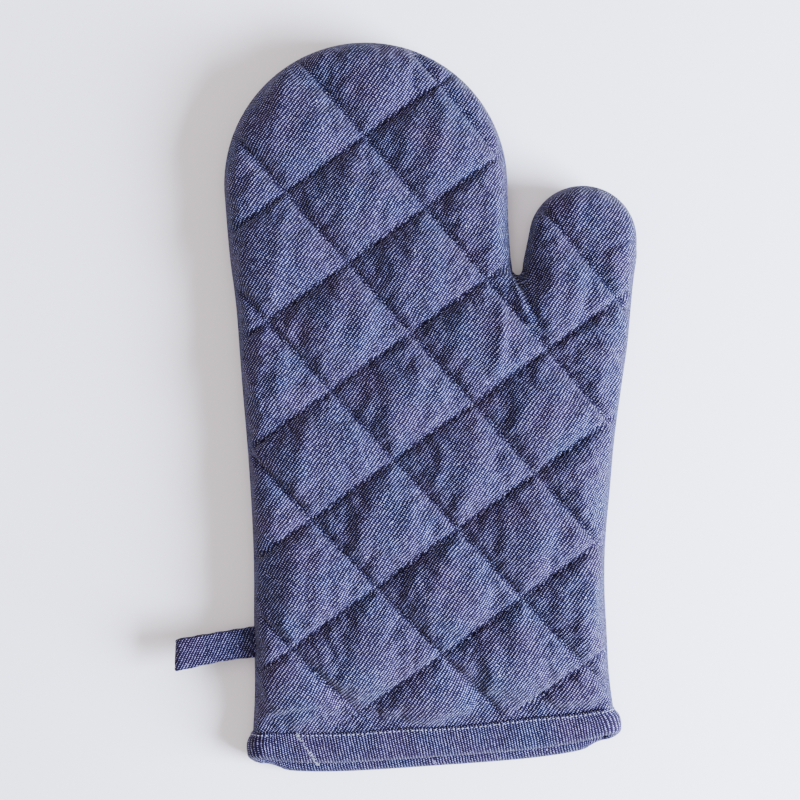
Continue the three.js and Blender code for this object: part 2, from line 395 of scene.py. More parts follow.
settled = np.vstack([front_start, back_start])
cloth = plain_object("cloth", settled * SIM_SCALE, cloth_faces)
pins = cloth.vertex_groups.new(name="stitched_down")
pins.add(np.flatnonzero(np.concatenate([stuck, stuck])).tolist(), 1, "REPLACE")
sim = cloth.modifiers.new("cloth", "CLOTH")
sim.settings.quality = 6
sim.settings.mass = 0.2
sim.settings.tension_stiffness = 18
sim.settings.compression_stiffness = 18
sim.settings.shear_stiffness = 8
sim.settings.bending_stiffness = 0.25
sim.settings.air_damping = 3
sim.settings.use_pressure = True
sim.settings.uniform_pressure_force = 8
sim.settings.shrink_min = -0.055
sim.settings.vertex_group_mass = "stitched_down"
sim.settings.effector_weights.gravity = 0
sim.collision_settings.use_collision = False
for step in range(1, SIM_FRAMES + 1):
    bpy.context.scene.frame_set(step)
settled = evaluated_points(cloth) / SIM_SCALE
bpy.context.scene.frame_set(1)
bpy.data.objects.remove(cloth)


def on_cloth(plan, depth, outward, inset=0):
    """Where points of a panel lie on the flat cloth, before it goes round the rim. A layer inside
    has an inset, and needs that much less to go round."""
    share = np.clip(1 - depth / RIM, 0, 1)
    return plan + outward * ((RIM - inset) * (np.arcsin(share) - share) - inset * share)[:, None]


def refined(points, faces, extra):
    """The same surface with each triangle divided once and smoothed, and the extra values with it."""
    thing = plain_object("refined", points, faces)
    for k in range(0, extra.shape[1], 3):
        carried = thing.data.attributes.new(f"extra_{k}", "FLOAT_VECTOR", "POINT")
        carried.data.foreach_set("vector", np.ascontiguousarray(extra[:, k:k + 3]).ravel())
    finer = thing.modifiers.new("finer", "SUBSURF")
    finer.levels = 1
    worn = thing.evaluated_get(bpy.context.evaluated_depsgraph_get()).data
    points = np.empty(len(worn.vertices) * 3)
    worn.vertices.foreach_get("co", points)
    faces = np.empty(len(worn.loops), int)
    worn.loops.foreach_get("vertex_index", faces)
    values = []
    for k in range(0, extra.shape[1], 3):
        value = np.empty(len(worn.vertices) * 3)
        worn.attributes[f"extra_{k}"].data.foreach_get("vector", value)
        values.append(value.reshape(-1, 3))
    bpy.data.objects.remove(thing)
    return points.reshape(-1, 3), faces.reshape(-1, 4), np.hstack(values)


def normals_of(points, faces):
    """The direction square to the surface at each point."""
    across = np.cross(points[faces[:, 2]] - points[faces[:, 0]],
                      points[faces[:, -1]] - points[faces[:, 1]])
    total = np.zeros_like(points)
    for corner in faces.T:
        np.add.at(total, corner, across)
    return total / np.maximum(np.linalg.norm(total, axis=1), 1e-12)[:, None]


GROOVE_DEPTH = 1.0
GROOVE_HALF_WIDTH = 1.0
BANK_DEPTH = 0.4
BANK_HALF_WIDTH = 3.2
NOTCH_POINT = (50.6, 52.0)
CREASE_END = (61.5, 18.0)
CREASE_DEPTH = 2.4
CREASE_HALF_WIDTH = 2.0
PINCH_OFFSET = 2.6
PINCH_HEIGHT = 1.5
PINCH_HALF_WIDTH = 1.1
PUSHED_UP = ((42.5, 42.0), (38.0, 6.0))
PUSHED_HEIGHT = 1.3
FOLD_LEAN = 14
FOLD_SPACING = 7.5
FOLD_LENGTH = 30
FOLD_RELIEF = 1.5
TABLE_CLEARANCE = 0.4
PRESSED_ON_TABLE = 0.12
LOWEST = 0.1


def along_line(plan, start, end):
    """For each point, how far along a line it is, from 0 to 1, and how far to the line's right."""
    start, end = np.array(start), np.array(end)
    way = (end - start) / np.linalg.norm(end - start)
    return ((plan - start) @ way / np.linalg.norm(end - start),
            (plan - start) @ np.array([way[1], -way[0]]))


def crease(plan):
    """The fold that runs from the notch into the palm, with a thin pinched ridge beside it, and
    the longer ridge that both push up in the palm."""
    share, side = along_line(plan, NOTCH_POINT, CREASE_END)
    fade = ease(-0.12, 0.03, share)
    valley = np.exp(-(side / CREASE_HALF_WIDTH) ** 2) * fade * (1 - ease(0.35, 1.1, share))
    pinched = np.exp(-((side - PINCH_OFFSET) / PINCH_HALF_WIDTH) ** 2) * fade
    pinched *= 1 - ease(0.3, 0.75, share)
    share, side = along_line(plan, *PUSHED_UP)
    pushed = np.exp(-(side / CREASE_HALF_WIDTH) ** 2)
    pushed *= ease(-0.3, 0.25, share) * (1 - ease(0.6, 1.15, share))
    return PINCH_HEIGHT * pinched + PUSHED_HEIGHT * pushed - CREASE_DEPTH * valley


def soft_folds(plan, gap):
    """Shallow folds that run up and down the mitt inside each quilted diamond."""
    turn = math.radians(FOLD_LEAN)
    across = plan @ np.array([math.cos(turn), -math.sin(turn)]) / FOLD_SPACING
    along = plan @ np.array([math.sin(turn), math.cos(turn)]) / FOLD_LENGTH
    rise = np.array([noise.noise((a, b, 3.7)) for a, b in zip(across.tolist(), along.tolist())])
    return FOLD_RELIEF * rise * ease(0.5, 7, gap) * (1 - towards_cuff(plan[:, 1]))


def finished_panel(points, faces, plan, depth, on_flat, mirrored):
    """A settled panel made finer, pulled in along the stitching, and laid on the table."""
    extra = np.column_stack([plan, depth, on_flat, depth])
    points, faces, extra = refined(points, faces, extra)
    plan, depth, on_flat = extra[:, :2], extra[:, 2], extra[:, 3:5]
    outwards = normals_of(points, faces)
    gap = from_quilting(plan)
    groove = GROOVE_DEPTH * np.exp(-(gap / GROOVE_HALF_WIDTH) ** 2)
    groove += BANK_DEPTH * np.exp(-(gap / BANK_HALF_WIDTH) ** 2)
    groove *= ease(CUFF_TOP_Y, CUFF_TOP_Y + 4, plan[:, 1])
    lifted = (crease(plan) + soft_folds(plan, gap) - groove) * ease(0.3, 3.5, depth)
    points = points + outwards * lifted[:, None]
    low = points[:, 2] < TABLE_CLEARANCE
    points[low, 2] = TABLE_CLEARANCE + PRESSED_ON_TABLE * (points[low, 2] - TABLE_CLEARANCE)
    points[:, 2] = np.maximum(points[:, 2], LOWEST)
    cloth_place = on_flat * (-1, 1) if mirrored else on_flat
    return {"points": points, "faces": faces, "plan": plan, "cloth": cloth_place,
            "normals": normals_of(points, faces)}


panel_cloth = on_cloth(flat, panel_depth, panel_outward)
front_panel = finished_panel(settled[:count], panel_faces, flat, panel_depth, panel_cloth, False)
back_points = np.where(sewn[:, None], settled[:count], settled[count:])
back_panel = finished_panel(back_points, panel_faces[:, ::-1], flat, panel_depth, panel_cloth,
                            True)

joints = {j["name"]: j for j in frame["joints"]}
fold_at = {name: np.array(j["pos_m"]) / MM for name, j in joints.items()}
thumb_along = np.array(joints["thumb_fold"]["axis"][:2])
thumb_across = np.array([-thumb_along[1], thumb_along[0]])


def on_thumb(plan):
    """Which points lie past the thumb's fold."""
    past = (plan - fold_at["thumb_fold"][:2]) @ thumb_across > 0
    return past & ((plan[:, 0] > NOTCH_POINT[0]) | (plan[:, 1] < NOTCH_POINT[1]))


def cloth_piece(name, panel, chosen, material):
    """An object from the chosen faces of a panel, with its place on the cloth as its weave map."""
    faces = panel["faces"][chosen]
    used, inverse = np.unique(faces, return_inverse=True)
    faces = inverse.reshape(faces.shape)
    thing = plain_object(name, panel["points"][used] * MM, faces, material)
    mesh = thing.data
    weave = mesh.uv_layers.new(name="weave")
    weave.data.foreach_set("uv", (panel["cloth"][used][faces.ravel()] / MAP_UNIT).ravel())
    mesh.normals_split_custom_set_from_vertices(panel["normals"][used].tolist())
    return thing


def hand_and_thumb(past):
    """The two parts of a face, by what lies past the thumb's fold: each part's name, a zone of the
    frame on its side of the fold, what belongs to it, and the zones of the frame that it stands for."""
    return ("hand", "fingers", ~past, ("palm", "fingers")), ("thumb", "thumb", past, ("thumb",))


def bend_with(thing):
    """A piece that runs from the palm into the fingers or the thumb, with its placing baked into its
    points.
    """
    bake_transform(thing)


# The weave map counts in tenths of a metre, 100 mm. Warp and weft are spaced as in heavy denim,
# so the wales are 1.24 mm apart.
MAP_UNIT = 100
WARP_PITCH = 0.54
WEFT_PITCH = 0.64
YARN_WAVER = 1.1


def indigo_twill(name, blue_ground, violet_ground, blue_fleck, violet_fleck):
    """Yarn-dyed cotton twill: matt, with a faint bloom of loose fibre at the edges. Dark blue warp
    and pale weft show as broken pale lines, never as one even colour."""
    material, surface = new_material(name, 0.85, Specular_IOR_Level=0.08, Sheen_Weight=0.06,
                                     Sheen_Roughness=0.5)
    weave = add(material, "UVMap", uv_map="weave")
    placed = add(material, "VectorMath", {0: weave.outputs["UV"], 1: (MAP_UNIT,) * 3},
                 operation="MULTIPLY")
    # From here the pattern is in millimetres. The yarns wander a little from their straight lines.
    waver = add(material, "TexNoise", {"Vector": placed.outputs[0], "Scale": 0.14, "Detail": 2})
    shift = add(material, "VectorMath", {0: waver.outputs["Color"], 1: (0.5, 0.5, 0.5)},
                operation="SUBTRACT")
    moved = add(material, "VectorMath", {0: shift.outputs[0], 1: (YARN_WAVER, YARN_WAVER, 0),
                                         2: placed.outputs[0]}, operation="MULTIPLY_ADD")
    yarns = add(material, "VectorMath", {0: moved.outputs[0], 1: (WARP_PITCH, WEFT_PITCH, 1)},
                operation="DIVIDE")
    # Wales: one weft in three lies on top, a yarn further along in each row.
    cell = add(material, "VectorMath", {0: yarns.outputs[0]}, operation="FLOOR")
    part = add(material, "SeparateXYZ", {0: yarns.outputs[0]})
    step = add(material, "Math", {0: part.outputs[0], 1: part.outputs[1]}, operation="SUBTRACT")
    turns = add(material, "Math", {0: step.outputs[0], 1: 2 * math.pi / 3}, operation="MULTIPLY")
    wave = add(material, "Math", {0: turns.outputs[0]}, operation="COSINE")
    # Beads: along a wale, the pale yarn shows only where it crosses over.
    other = add(material, "Math", {0: part.outputs[1], 1: 2.0, 2: part.outputs[0]},
                operation="MULTIPLY_ADD")
    other_turns = add(material, "Math", {0: other.outputs[0], 1: 2 * math.pi / 3},
                      operation="MULTIPLY")
    beads = add(material, "Math", {0: other_turns.outputs[0]}, operation="COSINE")
    rib = add(material, "Math", {0: beads.outputs[0], 1: 0.6, 2: wave.outputs[0]},
              operation="MULTIPLY_ADD")
    # No two flecks are the same: some are long and bright, and some are hidden.
    chance = add(material, "TexWhiteNoise", {"Vector": cell.outputs[0]}, noise_dimensions="2D")
    run = add(material, "TexNoise", {"Vector": moved.outputs[0], "Scale": 0.55, "Detail": 3,
                                     "Roughness": 0.7})
    uneven = add(material, "Math", {0: chance.outputs[0], 1: 0.85, 2: run.outputs[0]},
                 operation="MULTIPLY_ADD")
    shown = add(material, "Math", {0: uneven.outputs[0], 1: 1.0, 2: rib.outputs[0]},
                operation="MULTIPLY_ADD")
    fleck = add(material, "MapRange", {"Value": shown.outputs[0], "From Min": 1.72,
                                       "From Max": 2.5})
    # The dye drifts between blue and violet over patches of some 20 mm.
    fade = add(material, "TexNoise", {"Vector": placed.outputs[0], "Scale": 0.05, "Detail": 4})
    faded = add(material, "MapRange", {"Value": fade.outputs["Fac"], "From Min": 0.35,
                                       "From Max": 0.65})
    ground = add(material, "Mix", {"Factor": faded.outputs[0], 6: linear(blue_ground),
                                   7: linear(violet_ground)}, data_type="RGBA")
    pale = add(material, "Mix", {"Factor": faded.outputs[0], 6: linear(blue_fleck),
                                 7: linear(violet_fleck)}, data_type="RGBA")
    # Nubs: here and there, some 6 mm apart, a speck of undyed cotton.
    nub = add(material, "TexVoronoi", {"Vector": placed.outputs[0], "Scale": 0.17,
                                       "Randomness": 1.0})
    nubs = add(material, "MapRange", {"Value": nub.outputs["Distance"], "From Min": 0.07,
                                      "From Max": 0.02})
    white = add(material, "Math", {0: fleck.outputs[0], 1: nubs.outputs[0]}, operation="MAXIMUM")
    colour = add(material, "Mix", {"Factor": white.outputs[0], 6: ground.outputs[2],
                                   7: pale.outputs[2]}, data_type="RGBA")
    raised = add(material, "Bump", {"Height": rib.outputs[0], "Strength": 0.6,
                                    "Distance": 0.0002})
    wear(material, surface, colour, raised)
    return material


cover_twill = indigo_twill("indigo_twill", "#0B0B25", "#150B25", "#929CD2", "#9B94C6")

for face, panel in (("front", front_panel), ("back", back_panel)):
    middles = panel["plan"][panel["faces"]].mean(1)
    thumb_faces = on_thumb(middles)
    for part, zone, chosen, nodes in hand_and_thumb(thumb_faces):
        piece = cloth_piece(f"{face}_outer_cloth_{part}", panel, chosen, cover_twill)
        bend_with(piece)
        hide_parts(*[f"{face}_cover_{n}" for n in nodes])


# --- The quilting stitches ---
# Navy sewing thread, lockstitched through cover, wadding and lining, each face by itself before
# the faces were sewn together. A stitch shows as a short raised dash that dips in at both ends.

QUILT_STITCH = 2.3
QUILT_PITCH = 3.0
QUILT_THREAD = 0.24
SHORTEST_ROW = 6
LONGEST_ROW = 440
TWIST_SCALE = 900
ABOVE_ALL = 60


def sewing_thread(name, hex_colour, shine):
    """Twisted polyester: a little smoother and shinier than the cotton round it. Its plies are fine
    slanted bands 0.4 mm apart, with painted shade in the grooves between them, which from afar only
    make the thread a little duller."""
    material, surface = new_material(name, shine, Specular_IOR_Level=0.35)
    place = add(material, "TexCoord")
    twist = add(material, "TexWave", {"Vector": place.outputs["Object"], "Scale": TWIST_SCALE,
                                      "Distortion": 1.5}, bands_direction="DIAGONAL")
    # The darker colour, 0.55 of the thread's own, is painted shade in the grooves between the plies.
    colour = add(material, "Mix", {"Factor": twist.outputs["Fac"], 6: linear(hex_colour),
                                   7: [0.55 * c for c in linear(hex_colour)]}, data_type="RGBA")
    strands = add(material, "Bump", {"Height": twist.outputs["Fac"], "Strength": 0.4,
                                     "Distance": 0.0001})
    wear(material, surface, colour, strands)
    return material


def surface_points(panel, plan, upper):
    """Where a panel is, above or below each place in plan, and which way its surface faces."""
    tree = bvhtree.BVHTree.FromPolygons(panel["points"].tolist(), panel["faces"].tolist())
    sign = 1 if upper else -1
    places, facing = [], []
    for x, y in plan.tolist():
        spot, normal, _, _ = tree.ray_cast((x, y, ABOVE_ALL * sign), (0, 0, -sign))
        places.append(spot if spot else (np.nan,) * 3)
        facing.append(normal * (1 if normal.z * sign > 0 else -1) if spot else (np.nan,) * 3)
    return np.array(places), np.array(facing)


def unit(vectors):
    """The same vectors with a length of 1."""
    return vectors / np.maximum(np.linalg.norm(vectors, axis=-1, keepdims=True), 1e-12)


def stitch_ends(line, length, pitch):
    """Where each stitch along a line of points starts and ends."""
    along = np.concatenate([[0], np.cumsum(np.linalg.norm(np.diff(line, axis=0), axis=1))])
    starts = np.arange((pitch - length) / 2, along[-1] - length, pitch)
    ends = [[np.interp(s, along, line[:, k]) for k in range(line.shape[1])]
            for s in np.concatenate([starts, starts + length])]
    ends = np.array(ends).reshape(2, len(starts), line.shape[1])
    return ends[0], ends[1]


def stitches(name, starts, ends, up, radius, material):
    """One mesh of stitches, each a six-sided dash that lies on the cloth between two points. Each
    ring of a dash has its share of the length, its lift and its width, in thread radii."""
    length = np.linalg.norm(ends - starts, axis=1)[:, None]
    along = unit(ends - starts)
    side = unit(np.cross(along, up))
    up = np.cross(side, along)
    rings = []
    for share, lift, width in ((0, -1.4, 0.5), (0.16, 0.1, 0.95), (0.5, 0.5, 1),
                               (0.84, 0.1, 0.95), (1, -1.4, 0.5)):
        centre = starts + along * length * share + up * radius * lift
        for turn in np.radians(np.arange(0, 360, 60)):
            rings.append(centre + radius * width * (math.cos(turn) * side + math.sin(turn) * up))
    points = np.stack(rings, axis=1)
    quads = [(6 * r + k, 6 * r + (k + 1) % 6, 6 * r + 6 + (k + 1) % 6, 6 * r + 6 + k)
             for r in range(4) for k in range(6)]
    faces = np.array(quads)[None] + 30 * np.arange(len(points))[:, None, None]
    return plain_object(name, points.reshape(-1, 3) * MM, faces.reshape(-1, 4), material)


def quilting_rows():
    """Each stretch of quilting on a panel, as a line of places in plan."""
    rows = []
    for start, along, stop in quilt_lines():
        row = start + np.arange(-LONGEST_ROW / 2, LONGEST_ROW / 2, 1.0)[:, None] * along
        depth, _ = nearest_on_edge(row)
        keep = inside(row, edge_line) & (depth > 2) & (row[:, 1] > PRESSED_TO)
        keep &= row[:, 0] < stop
        for stretch in np.split(np.arange(len(row)), np.flatnonzero(np.diff(keep)) + 1):
            if keep[stretch[0]] and len(stretch) > SHORTEST_ROW:
                rows.append(row[stretch])
    return rows


navy_thread = sewing_thread("twisted_navy_thread", "#15153A", 0.55)
for face, panel in (("front", front_panel), ("back", back_panel)):
    pairs = [stitch_ends(row, QUILT_STITCH, QUILT_PITCH) for row in quilting_rows()]
    starts, ends = (np.vstack([pair[k] for pair in pairs]) for k in (0, 1))
    start_points, facing = surface_points(panel, starts, face == "front")
    end_points, _ = surface_points(panel, ends, face == "front")
    found = ~np.isnan(start_points[:, 0] + end_points[:, 0])
    past = on_thumb((starts + ends) / 2)
    for part, zone, chosen, nodes in hand_and_thumb(past):
        chosen = chosen & found
        piece = stitches(f"{face}_quilt_stitches_{part}", start_points[chosen], end_points[chosen],
                         facing[chosen], QUILT_THREAD, navy_thread)
        bend_with(piece)
        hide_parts(*[f"{face}_quilting_{n}" for n in nodes])


# --- The side seam ---
# The two quilted panels were sewn together face to face and turned right side out, so the seam
# is a fold that hides its allowance. Only the navy lockstitches show, down in the fold.

SEAM_STITCH = 2.1
SEAM_PITCH = 2.5
SEAM_SINK = 0.45
SEAM_THREAD = 0.22
NOTCH_FROM_Y = 40
NOTCH_REACH = 8
by_fingers = (edge_line[:, 1] > fold_at["fingers_fold"][1]) & (edge_line[:, 0] < NOTCH_POINT[0] - 1)
in_thumb = on_thumb(edge_line) & ~by_fingers & (edge_line[:, 0] > NOTCH_POINT[0] + 1.5)
in_notch = (edge_line[:, 1] > NOTCH_FROM_Y) & ~by_fingers & ~in_thumb
in_notch &= np.abs(edge_line[:, 0] - NOTCH_POINT[0]) < NOTCH_REACH
in_palm = ~by_fingers & ~in_thumb & ~in_notch & (edge_line[:, 1] > CUFF_TOP_Y)
right_side = in_palm & (edge_line[:, 0] > 0)
left_side = in_palm & (edge_line[:, 0] < 0)
for node, chosen, zone in (("side_seam_palm_left", left_side, None),
                           ("side_seam_palm_right", right_side, None),
                           ("side_seam_notch", in_notch, None),
                           ("side_seam_fingers", by_fingers, "fingers"),
                           ("side_seam_thumb", in_thumb, "thumb")):
    run = edge_line[chosen] - nearest_on_edge(edge_line[chosen])[1] * SEAM_SINK
    run = np.column_stack([run, seam_height(run[:, 1])])
    starts, ends = stitch_ends(run, SEAM_STITCH, SEAM_PITCH)
    away = np.column_stack([(ends - starts)[:, 1], (starts - ends)[:, 0], np.zeros(len(starts))])
    piece = stitches(node + "_thread", starts, ends, away, SEAM_THREAD, navy_thread)
    if zone:
        bend_with(piece)
    else:
        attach(piece, "palm")
    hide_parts(node)


# --- The wadding ---
# Two pads of white polyester wadding, one in each face, squeezed thin along the quilting and in
# the cuff. They fill the space between the cover and the lining.

INNER_PITCH = 4.2
# How far each skin of a pad lies inside the cover: on the hand and in the cuff. Then how far it
# is drawn towards the cover along the quilting.
PAD_OUTSIDE = (2.0, 1.0, -0.6)
PAD_INSIDE = (5.0, 3.3, 1.2)
inner_flat, inner_faces, _, _, _ = flat_panel(INNER_PITCH, 3)
inner_depth, inner_outward = nearest_on_edge(inner_flat)


def inner_layer(panel, upper, inset, cuff_inset, tuck):
    """A layer inside a cover panel: the panel's own shape, drawn in from the edge and flatter.
    A tuck moves it towards the cover along the quilting."""
    # Right at the seam the cover has no height to follow, so it is taken a little further in.
    sampled = inner_flat - inner_outward * np.where(inner_depth < 1.5, 1.5, 0)[:, None]
    places, _ = surface_points(panel, sampled, upper)
    tight = towards_cuff(inner_flat[:, 1])
    inset = inset + (cuff_inset - inset) * tight
    half_height = HALF_HEIGHT + (CUFF_HALF_HEIGHT - HALF_HEIGHT) * tight
    level = seam_height(inner_flat[:, 1])
    rise = np.abs(np.nan_to_num(places[:, 2], nan=SEAM_HEIGHT) - level)
    rise = np.where(inner_depth < 0.5, 0, np.minimum(rise, half_height + 1.2))
    rise *= 1 - inset / half_height
    tucked = np.exp(-(from_quilting(inner_flat) / 3) ** 2) * ease(2, 9, inner_depth)
    rise += tuck * tucked * (1 - tight)
    share = np.clip(1 - inner_depth / RIM, 0, 1)
    plan = inner_flat - inner_outward * (inset * share * (1 - 0.2 * tight))[:, None]
    return np.column_stack([plan, level + rise * (1 if upper else -1)])


def closed_pad(outer, inner, faces):
    """The points and faces of a pad: an outer and an inner skin, and a wall round their edge."""
    used, inverse = np.unique(faces, return_inverse=True)
    faces = inverse.reshape(faces.shape)
    n = len(used)
    corners = np.vstack([faces[:, (0, 1)], faces[:, (1, 2)], faces[:, (2, 0)]])
    seen = set(map(tuple, corners.tolist()))
    rim = [(a, b) for a, b in corners.tolist() if (b, a) not in seen]
    walls = [(b, a, a + n) for a, b in rim] + [(b, a + n, b + n) for a, b in rim]
    return np.vstack([outer[used], inner[used]]), np.vstack([faces, faces[:, ::-1] + n, walls])


# Carded polyester: a matt, uneven white of loose fibres. They are drawn as tufts of about a third
# of a millimetre, 900 to the length of a pad, since a single fibre is far too fine to show.
TUFTS = 900
wadding_fibre, wadding_surface = new_material("carded_polyester_wadding", 0.95,
                                              Specular_IOR_Level=0.2)
fibres = add(wadding_fibre, "TexNoise", {"Scale": TUFTS, "Detail": 6, "Roughness": 0.8})
tufts = add(wadding_fibre, "MapRange", {"Value": fibres.outputs["Fac"], "From Min": 0.3,
                                        "From Max": 0.7})
wadding_white = add(wadding_fibre, "Mix", {"Factor": tufts.outputs[0], 6: linear("#D9D8D2"),
                                           7: linear("#F6F5F0")}, data_type="RGBA")
lofty = add(wadding_fibre, "Bump", {"Height": fibres.outputs["Fac"], "Strength": 0.8,
                                    "Distance": 0.0008})
wear(wadding_fibre, wadding_surface, wadding_white, lofty)

inner_thumb = on_thumb(inner_flat[inner_faces].mean(1))
for face, panel in (("front", front_panel), ("back", back_panel)):
    upper = face == "front"
    outer = inner_layer(panel, upper, *PAD_OUTSIDE)
    inner = inner_layer(panel, upper, *PAD_INSIDE)
    turned = inner_faces if upper else inner_faces[:, ::-1]
    for part, zone, chosen, nodes in hand_and_thumb(inner_thumb):
        points, faces = closed_pad(outer, inner, turned[chosen])
        piece = plain_object(f"{face}_pad_{part}", points * MM, faces, wadding_fibre)
        bend_with(piece)
        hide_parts(*[f"{face}_wadding_{n}" for n in nodes])


# --- The lining ---
# Unbleached plain-woven cotton, quilted together with the wadding and the cover, so it has the
# same lines on the inside. It is seen only through the mouth of the cuff.

LINING_INSET = 5.7
LINING_CUFF_INSET = 4.0
LINING_TUCK = 1.2


def plain_cotton(name, pale, shade, yarn):
    """Plain weave: warp and weft cross one over one, so it is even and almost without shine. The
    yarns have a pitch in millimetres, and a slub here and there."""
    material, surface = new_material(name, 0.9, Specular_IOR_Level=0.2, Sheen_Weight=0.1)
    weave = add(material, "UVMap", uv_map="weave")
    yarns = add(material, "VectorMath", {0: weave.outputs["UV"], 1: (MAP_UNIT / yarn,) * 3},
                operation="MULTIPLY")
    checks = add(material, "TexChecker", {"Vector": yarns.outputs[0], "Scale": 1.0})
    slub = add(material, "TexNoise", {"Vector": weave.outputs["UV"], "Scale": 60, "Detail": 5})
    mixed = add(material, "Math", {0: checks.outputs["Fac"], 1: 0.35, 2: slub.outputs["Fac"]},
                operation="MULTIPLY_ADD")
    even = add(material, "MapRange", {"Value": mixed.outputs[0], "From Min": 0.3,
                                      "From Max": 0.9})
    colour = add(material, "Mix", {"Factor": even.outputs[0], 6: linear(shade),
                                   7: linear(pale)}, data_type="RGBA")
    raised = add(material, "Bump", {"Height": mixed.outputs[0], "Strength": 0.5,
                                    "Distance": 0.0002})
    wear(material, surface, colour, raised)
    return material


COTTON_PITCH = 0.45
lining_cotton = plain_cotton("unbleached_plain_cotton", "#EAE2CF", "#C4B897", COTTON_PITCH)
inner_cloth = on_cloth(inner_flat, inner_depth, inner_outward, LINING_INSET)
for face, panel in (("front", front_panel), ("back", back_panel)):
    upper = face == "front"
    points = inner_layer(panel, upper, LINING_INSET, LINING_CUFF_INSET, LINING_TUCK)
    turned = inner_faces[:, ::-1] if upper else inner_faces
    finer, quads, extra = refined(points, turned, np.column_stack([inner_flat, inner_depth,
                                                                   inner_cloth, inner_depth]))
    layer = {"points": finer, "faces": quads, "plan": extra[:, :2], "cloth": extra[:, 3:5],
             "normals": normals_of(finer, quads)}
    past = on_thumb(layer["plan"][quads].mean(1))
    for part, zone, chosen, nodes in hand_and_thumb(past):
        piece = cloth_piece(f"{face}_inner_cloth_{part}", layer, chosen, lining_cotton)
        bend_with(piece)
        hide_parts(*[f"{face}_lining_{n}" for n in nodes])


# --- The cuff binding ---
# A strip of the same twill, cut on the bias and folded over all the raw edges of the cuff. It is
# one topstitched tube round the mouth, and its ends overlap in a slanted join left of the middle.

# Seen into the mouth, the binding is a flat ring with round ends. Its top edge, its lips and the
# fullest part of its ends are given by how far up the hand they lie.
BINDING_HALF_WIDTH = 82.8
BINDING_CENTRE = 4.8
BINDING_WALL = 2.9
STITCH_INSET = 1.0
BINDING_TOP = -139.4
BINDING_SAG = 3.0
FRONT_LIP = -155.8
REAR_LIP = 5.6
LIP_RISE = 4.2
END_ROUNDING = 3.0
END_BELLY = -148.5
END_ABOVE = 9.2
END_BELOW = 6.4
END_START = 62
END_FULL = 80
BIAS = -48
RING_PITCH = 1.1
JOIN_TOP = (-60.5, -141.4)
JOIN_FOOT = (-52.5, -155.0)
JOIN_HEIGHT = 0.55
cuff_level = float(seam_height(CUFF_EDGE_Y))


def mouth_line(pitch):
    """Round the mouth in the middle of its wall, from the middle of the back by way of the thumb
    side: its points across and up, and the way out of the wall at each."""
    half = BINDING_HALF_WIDTH - BINDING_CENTRE - BINDING_WALL
    turn = np.linspace(-90, 90, 24)
    right = np.column_stack([half + BINDING_CENTRE * np.cos(np.radians(turn)),
                             BINDING_CENTRE * np.sin(np.radians(turn))])
    line = np.vstack([[0, -BINDING_CENTRE], right, -right, [0, -BINDING_CENTRE]])
    line = evenly(line, pitch)[:-1]
    ahead = unit(np.roll(line, -1, axis=0) - np.roll(line, 1, axis=0))
    out = np.column_stack([ahead[:, 1], -ahead[:, 0]])
    return line, out


def binding_edges(line):
    """The height up the hand of the binding's top edge and of its lip, all round the mouth."""
    middle = 1 - (line[:, 0] / BINDING_HALF_WIDTH) ** 2
    rear = ease(0.5, -0.5, line[:, 1] / BINDING_CENTRE)
    lift = LIP_RISE * np.minimum(np.abs(line[:, 0]) / 75, 1) ** 4
    top = BINDING_TOP - BINDING_SAG * middle - 0.35 * np.sin(line[:, 0] / 9) * middle
    rear *= 1 - 0.55 * ease(0.84, 1.0, np.abs(line[:, 0]) / BINDING_HALF_WIDTH)
    lip = FRONT_LIP - REAR_LIP * rear + lift
    return top, lip


def join_height(x, y):
    """How much the binding stands up where one end lies over the other, left of the slant."""
    share = (y - JOIN_TOP[1]) / (JOIN_FOOT[1] - JOIN_TOP[1])
    past = x - (JOIN_TOP[0] + (JOIN_FOOT[0] - JOIN_TOP[0]) * share)
    return JOIN_HEIGHT * ease(0.5, -0.3, past) * ease(-16, -9, past)


line, out = mouth_line(RING_PITCH)
top, lip = binding_edges(line)
rings = len(line)
# Across the strip: from the edge turned under on the outside, down and round the lip, to the
# edge turned under on the inside. Each step is out from the wall, and down from the top (0) to
# the lip (1).
steps = [(1.9, 0.05), (2.5, 0.0), (3.0, 0.04), (2.75, 0.16), (2.95, 0.3), (3.1, 0.45), (3.1, 0.6),
         (3.0, 0.75)]
below_top = lip + BINDING_WALL - top
columns = []
for away, down in steps:
    columns.append((np.full(rings, away), top + below_top * down))
for turn in np.radians(np.linspace(0, 180, 11)):
    columns.append((np.full(rings, BINDING_WALL * math.cos(turn)),
                    lip + BINDING_WALL * (1 - math.sin(turn))))
for away, down in reversed(steps):
    columns.append((np.full(rings, -min(away, BINDING_WALL)), top + below_top * down))
travel = np.arange(rings) * RING_PITCH
ripple = 0.16 * np.sin(travel / 2.9 + 1.3 * np.sin(travel / 17)) + 0.12 * np.sin(travel / 1.3)
points, across = [], []
before = None
run = np.zeros(rings)
for away, y in columns:
    outer = away >= 0
    stitched = np.exp(-((top - y - STITCH_INSET) / 0.8) ** 2) * 0.35
    puff = np.where(outer, join_height(line[:, 0], y) * (line[:, 1] > 0), 0)
    swell = ripple * ease(1.0, 4.0, top - y) * np.where(outer, 1, 0.3) - stitched + puff
    where = away + np.sign(away) * np.where(np.abs(away) > 1.5, swell, 0)
    spot = np.column_stack([line[:, 0] + out[:, 0] * where, y,
                            cuff_level + line[:, 1] + out[:, 1] * where])
    end = ease(END_START, END_FULL, np.abs(spot[:, 0])) * np.sign(spot[:, 0])
    from_belly = np.where(y > END_BELLY, (y - END_BELLY) / END_ABOVE, (END_BELLY - y) / END_BELOW)
    spot[:, 0] -= end * END_ROUNDING * np.clip(from_belly, 0, 1.4) ** 2.2
    spot[:, 2] = np.maximum(spot[:, 2], 0.15)
    if before is not None:
        run = run + np.linalg.norm(spot - before, axis=1)
    before = spot
    points.append(spot)
    across.append(run.copy())
strip = np.array(points)
